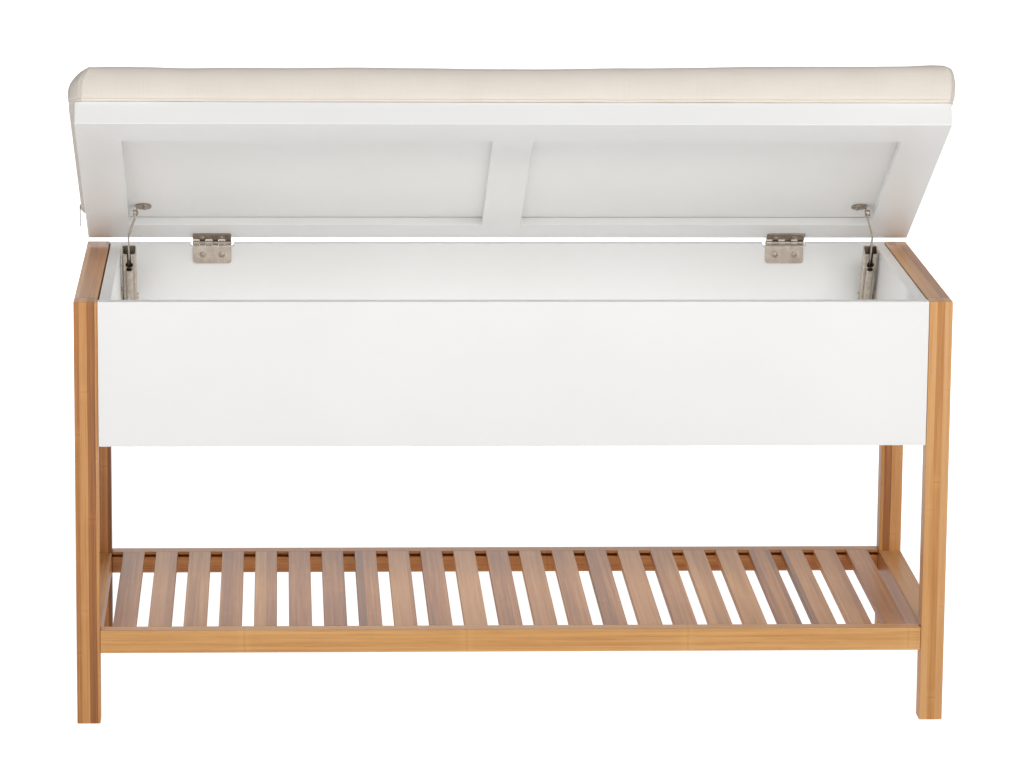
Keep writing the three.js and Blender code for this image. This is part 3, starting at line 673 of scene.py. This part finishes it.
    def sew(self):
        """Faces and cloth coordinates: both grids flat, and the wall unrolled along the rim."""
        for key, order in (("top", 1), ("bottom", -1)):
            for i in range(len(self.xs) - 1):
                for j in range(len(self.ys) - 1):
                    cells = [(i, j), (i + 1, j), (i + 1, j + 1), (i, j + 1)][::order]
                    corners = [self.verts[key, *cell] for cell in cells]
                    self.face(corners, [self.flat[c] for c in corners])
        climb = [-2 * MM, 0.0]
        for (out_a, share_a), (out_b, share_b) in zip(WALL, WALL[1:]):
            climb.append(climb[-1] + math.hypot((out_b - out_a) * MM, (share_b - share_a) * self.height))
        climb.append(climb[-1] + 4 * MM)
        count = len(self.rim)
        columns = []
        for k, step in enumerate(self.rim):
            column = [self.verts["bottom", *step]]
            column += [self.verts["wall", k, w] for w in range(len(WALL))]
            columns.append(column + [self.verts["top", *step]])
        for k in range(count):
            here, after = columns[k], columns[(k + 1) % count]
            for w in range(len(here) - 1):
                uvs = [(self.run[k], climb[w]), (self.run[k + 1], climb[w])]
                uvs += [(self.run[k + 1], climb[w + 1]), (self.run[k], climb[w + 1])]
                # Faces of the ends take material 1, the canvas darkened as painted shade.
                self.face([here[w], after[w], after[w + 1], here[w + 1]], uvs, int(self.on_side(k)))


def add_piece(name, mesh, material, body, place=LID_FRAME):
    """Turns a bmesh into an object that rides on a body."""
    data = bpy.data.meshes.new(name)
    mesh.normal_update()
    mesh.to_mesh(data)
    mesh.free()
    piece = bpy.data.objects.new(name, data)
    bpy.context.scene.collection.objects.link(piece)
    piece.matrix_world = place
    data.materials.append(material)
    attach(piece, body)
    return piece


def build_cushion():
    cushion = Cushion()
    place = LID_FRAME @ Matrix.Translation((cushion.middle[0], cushion.middle[1], cushion.low[2]))
    cover = add_piece("cushion_cover", cushion.mesh, canvas("canvas_cover"), "lid", place)
    # The ends use the same canvas at 0.8 of its brightness: painted shade where they turn away from the
    # light.
    cover.data.materials.append(canvas("canvas_ends_painted_shade", 0.8))
    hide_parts("seat_cushion")


# ======== Zip ========
TAPE_WIDE = 4.2 * MM
TAPE_THICK = 0.6 * MM
TOOTH_PITCH = 1.7 * MM
TOOTH_SIZE = (0.75 * MM, 0.85 * MM, 2.3 * MM)
TOOTH_FACE = -452.6 * MM


def add_block(mesh, centre, size, round_by):
    """A block with rounded edges."""
    grown = bmesh.ops.create_cube(mesh, size=1.0)["verts"]
    for vert in grown:
        vert.co = Vector(centre) + Vector([c * d for c, d in zip(vert.co, size)])
    edges = {edge for vert in grown for edge in vert.link_edges}
    bmesh.ops.bevel(mesh, geom=list(edges), offset=round_by, segments=1, profile=0.7, affect="EDGES")


def build_zip(tooth_material):
    """Two woven tapes on the left side of the cover, and the teeth between them."""
    first, last = ZIP_RUN
    for name, hand in (("zip_tape_lower", -1), ("zip_tape_upper", 1)):
        tape = bmesh.new()
        uv_layer = tape.loops.layers.uv.new("cloth")
        steps = 120
        rings = []
        for k in range(steps + 1):
            y = first + (last - first) * k / steps
            edge = ZIP_HEIGHT + hand * (TAPE_WIDE + 0.3 * MM + 0.25 * MM * wave(y * 40, hand, 0, 3.0))
            root = ZIP_HEIGHT + hand * 0.3 * MM
            outer = ZIP_GROUND - TAPE_THICK
            ring = [(outer + 0.25 * MM, edge), (outer, edge - hand * 0.4 * MM), (outer, root)]
            ring += [(ZIP_GROUND + 0.2 * MM, root), (ZIP_GROUND + 0.2 * MM, edge)]
            rings.append([tape.verts.new((x, y, z)) for x, z in ring[::hand]])
        for ring, after in zip(rings, rings[1:]):
            for a in range(5):
                b = (a + 1) % 5
                tape.faces.new((ring[a], ring[b], after[b], after[a]))
        tape.faces.new(rings[0][::-1])
        tape.faces.new(rings[-1])
        for tape_face in tape.faces:
            tape_face.smooth = False
            for loop in tape_face.loops:
                loop[uv_layer].uv = (loop.vert.co.y, loop.vert.co.z)
        bmesh.ops.recalc_face_normals(tape, faces=tape.faces)
        add_piece(name, tape, canvas(f"canvas_{name}", 0.93), "lid")
    teeth = bmesh.new()
    count = int((last - first - 4 * MM) / TOOTH_PITCH)
    for k in range(count):
        hand = 1 if k % 2 else -1
        y = first + 2 * MM + k * TOOTH_PITCH
        middle_x = TOOTH_FACE + TOOTH_SIZE[0] / 2
        add_block(teeth, (middle_x, y, ZIP_HEIGHT + hand * 0.55 * MM), TOOTH_SIZE, 0.16 * MM)
    add_piece("zip_teeth", teeth, tooth_material, "lid")


# ======== Screws ========
SCREW_SEGMENTS = 32
# Head profile: share of the radius, and share of the rise.
SCREW_PROFILE = ((0.0, 1.0), (0.3, 0.98), (0.6, 0.84), (0.82, 0.58), (0.95, 0.3), (1.0, 0.1), (1.0, -0.25))


def lathe(mesh, profile):
    """A closed body turned round Z from (radius, height) pairs, the first on the axis."""
    top = mesh.verts.new((0, 0, profile[0][1]))
    rings = []
    for radius, height in profile[1:]:
        angles = [2 * math.pi * k / SCREW_SEGMENTS for k in range(SCREW_SEGMENTS)]
        rings.append([mesh.verts.new((radius * math.cos(a), radius * math.sin(a), height)) for a in angles])
    for k in range(SCREW_SEGMENTS):
        after = (k + 1) % SCREW_SEGMENTS
        mesh.faces.new((top, rings[0][k], rings[0][after]))
        for inner, outer in zip(rings, rings[1:]):
            mesh.faces.new((inner[k], outer[k], outer[after], inner[after]))
    mesh.faces.new(rings[-1][::-1])


def cross_cutter(mesh, radius, rise):
    """The cross recess as a solid: a plus shape that narrows downwards."""
    rings = []
    for height, long, wide in ((-0.1 * rise, 0.42, 0.1), (rise * 1.3, 0.62, 0.17)):
        a, b = long * radius, wide * radius
        outline = [(a, -b), (a, b), (b, b), (b, a), (-b, a), (-b, b)]
        outline += [(-x, -y) for x, y in outline]
        rings.append([mesh.verts.new((x, y, height)) for x, y in outline])
    count = len(rings[0])
    for k in range(count):
        after = (k + 1) % count
        mesh.faces.new((rings[0][k], rings[0][after], rings[1][after], rings[1][k]))
    mesh.faces.new(rings[0][::-1])
    mesh.faces.new(rings[1])


def screw_mesh(radius, rise, material):
    """One screw head with its cross recess cut by a boolean."""
    bodies = []
    for make in (
        lambda mesh: lathe(mesh, [(r * radius, h * rise) for r, h in SCREW_PROFILE]),
        lambda mesh: cross_cutter(mesh, radius, rise),
    ):
        mesh = bmesh.new()
        make(mesh)
        data = bpy.data.meshes.new("screw_part")
        mesh.to_mesh(data)
        mesh.free()
        bodies.append(bpy.data.objects.new("screw_part", data))
        bpy.context.scene.collection.objects.link(bodies[-1])
    head, cutter = bodies
    cut = head.modifiers.new("cross", "BOOLEAN")
    cut.operation = "DIFFERENCE"
    cut.object = cutter
    made = bpy.data.meshes.new_from_object(head.evaluated_get(bpy.context.evaluated_depsgraph_get()))
    made.name = "screw_head"
    for body in bodies:
        bpy.data.objects.remove(body)
    for face in made.polygons:
        face.use_smooth = True
    made.set_sharp_from_angle(angle=math.radians(35))
    made.materials.clear()
    made.materials.append(material)
    return made


def place_screw(name, mesh, place, direction, spin, body):
    piece = bpy.data.objects.new(name, mesh)
    bpy.context.scene.collection.objects.link(piece)
    turn = Vector(direction).to_track_quat("Z", "Y").to_matrix().to_4x4()
    piece.matrix_world = place @ turn @ Matrix.Rotation(spin, 4, "Z")
    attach(piece, body)


# Where the screws sit, across from the centre. The lid's screws are in the lid's own frame.
HINGE_X = 314 * MM
LEAF_SCREWS = (-10.5 * MM, 10.5 * MM)  # to both sides of a hinge's middle
BOX_LEAF_FACE = (0.165614, 0.4315)  # y and z
LID_LEAF_FACE = (-0.0135, 0.0018)
BRACKET_X = 384.8 * MM
BRACKET_FACE = (-0.088, 0.011)
BRACKET_SCREWS = (-4.5 * MM, 4.5 * MM)  # forward and back of the bracket's middle
FOOT_X = 411.1 * MM
FOOT_PIVOT = (0.148114, 0.389)  # y and z
FOOT_SCREWS = (14 * MM, 22 * MM)  # below the pivot


def build_screws(nickel):
    """Two screws in each hinge leaf, two in each lid bracket and two in each stay foot."""
    leaf_screw = screw_mesh(3.3 * MM, 1.1 * MM, nickel)
    bracket_screw = screw_mesh(2.9 * MM, 1.5 * MM, nickel)
    foot_screw = screw_mesh(3 * MM, 0.85 * MM, nickel)
    random = np.random.default_rng(11)
    centre = Vector((CENTRE_X, 0, 0))
    lid_turn = LID_FRAME.to_3x3()

    def put(name, mesh, local, direction, body):
        """local is a place in the body's frame: the lid's own, or the row frame with x from the centre."""
        spin = random.uniform(0, math.pi)
        if body == "lid":
            place = Matrix.Translation(LID_FRAME @ Vector(local))
            place_screw(name, mesh, place, lid_turn @ Vector(direction), spin, body)
        else:
            place_screw(name, mesh, Matrix.Translation(centre + Vector(local)), direction, spin, body)

    for hand, side in (("left", -1), ("right", 1)):
        for number, off in enumerate(LEAF_SCREWS):
            x = side * HINGE_X + off
            put(f"screw_box_leaf_{hand}_{number}", leaf_screw, (x, *BOX_LEAF_FACE), (0, -1, 0), "bench")
            put(f"screw_lid_leaf_{hand}_{number}", leaf_screw, (x, *LID_LEAF_FACE), (0, 0, -1), "lid")
        for number, off in enumerate(BRACKET_SCREWS):
            spot = (side * BRACKET_X, BRACKET_FACE[0] + off, BRACKET_FACE[1])
            put(f"screw_bracket_{hand}_{number}", bracket_screw, spot, (0, 0, -1), "lid")
        for number, drop in enumerate(FOOT_SCREWS):
            spot = (side * FOOT_X, FOOT_PIVOT[0], FOOT_PIVOT[1] - drop)
            put(f"screw_foot_{hand}_{number}", foot_screw, spot, (-side, 0, 0), "bench")


# ======== Camera, floor and light ========
FLOOR_GLOW = (0.33, 0.8)  # near the bench, and far from it
FLOOR_EXTRA = 0.57  # the camera sees the paper this much brighter, as clean white
WORLD_LIGHT = 0.1
WORLD_SEEN = 1.05
MIRRORED_LIGHT = 0.65


def make_camera():
    camera = bpy.data.cameras.new("camera")
    camera.lens = CAMERA_LENS
    camera.sensor_width = 36
    camera.clip_end = 60
    eye = bpy.data.objects.new("camera", camera)
    bpy.context.scene.collection.objects.link(eye)
    turn = Matrix.Rotation(-CAMERA_TURN, 4, "Z") @ Matrix.Rotation(math.pi / 2 - CAMERA_DOWN, 4, "X")
    eye.matrix_world = Matrix.Translation(CAMERA_PLACE) @ turn @ Matrix.Rotation(CAMERA_ROLL, 4, "Z")
    bpy.context.scene.camera = eye


def make_floor():
    """White paper that glows a little, and more further out, so that it fades into the white studio."""
    size = 14.0
    data = bpy.data.meshes.new("floor")
    corners = [(-size, -size, 0), (size, -size, 0), (size, size, 0), (-size, size, 0)]
    data.from_pydata(corners, [], [(0, 1, 2, 3)])
    floor = bpy.data.objects.new("floor", data)
    bpy.context.scene.collection.objects.link(floor)
    look = Look("floor_paper", Roughness=0.9, Specular_IOR_Level=0.2)
    look.shader.inputs["Emission Color"].default_value = (1, 1, 1, 1)
    point = look.object_point()
    away = look.add("ShaderNodeVectorMath", {0: point}, operation="LENGTH").outputs["Value"]
    glow = look.ramp_between(away, 0.6, 2.0, *FLOOR_GLOW)
    seen = look.add("ShaderNodeLightPath").outputs["Is Camera Ray"]
    look.set("Emission Strength", look.math("MULTIPLY_ADD", seen, FLOOR_EXTRA, glow))
    grain = look.noise(point, 3.0, 3.0)
    look.set("Base Color", look.colours(grain, [(0.3, (0.8, 0.8, 0.8)), (0.7, (0.84, 0.84, 0.84))]))
    data.materials.append(look.material)


def soft_light(name, place, aim, size, power):
    light = bpy.data.lights.new(name, "AREA")
    light.shape = "RECTANGLE"
    light.size, light.size_y = size
    light.energy = power
    lamp = bpy.data.objects.new(name, light)
    bpy.context.scene.collection.objects.link(lamp)
    lamp.location = place
    lamp.visible_camera = False
    lamp.rotation_euler = (Vector(aim) - Vector(place)).to_track_quat("-Z", "Y").to_euler()


def make_light():
    """Soft boxes at the front, a weak one behind, and a world that is white to look at and mirror."""
    world = bpy.data.worlds.new("studio")
    bpy.context.scene.world = world
    world.use_nodes = True
    g = Graph(world.node_tree)
    path = g.add("ShaderNodeLightPath").outputs
    strength = g.math("MULTIPLY_ADD", path["Is Camera Ray"], WORLD_SEEN - WORLD_LIGHT, WORLD_LIGHT)
    strength = g.math("MULTIPLY_ADD", path["Is Glossy Ray"], MIRRORED_LIGHT - WORLD_LIGHT, strength)
    world.node_tree.links.new(strength, world.node_tree.nodes["Background"].inputs["Strength"])
    world.node_tree.nodes["Background"].inputs["Color"].default_value = (1, 1, 1, 1)
    middle = (0, 0, 0.4)
    soft_light("key", (1.7, -3.9, 2.8), middle, (2.8, 1.8), 96)
    soft_light("fill", (-1.9, -3.9, 2.5), middle, (2.8, 1.8), 38)
    soft_light("rear", (-0.6, 3.6, 2.6), middle, (2.6, 2.0), 26)
    # A weak strip just behind the box front, below its top edge, opens up the shade inside.
    soft_light("inside", (CENTRE_X, -0.13, 0.41), (CENTRE_X, 0.15, 0.33), (0.78, 0.03), 0.25)
    bpy.context.scene.view_settings.view_transform = "Standard"


# ======== Everything ========
make_camera()
make_floor()
make_light()
dress_frame()
dress_white()
nickel, zip_metal = dress_metal()
build_cushion()
build_zip(zip_metal)
build_screws(nickel)
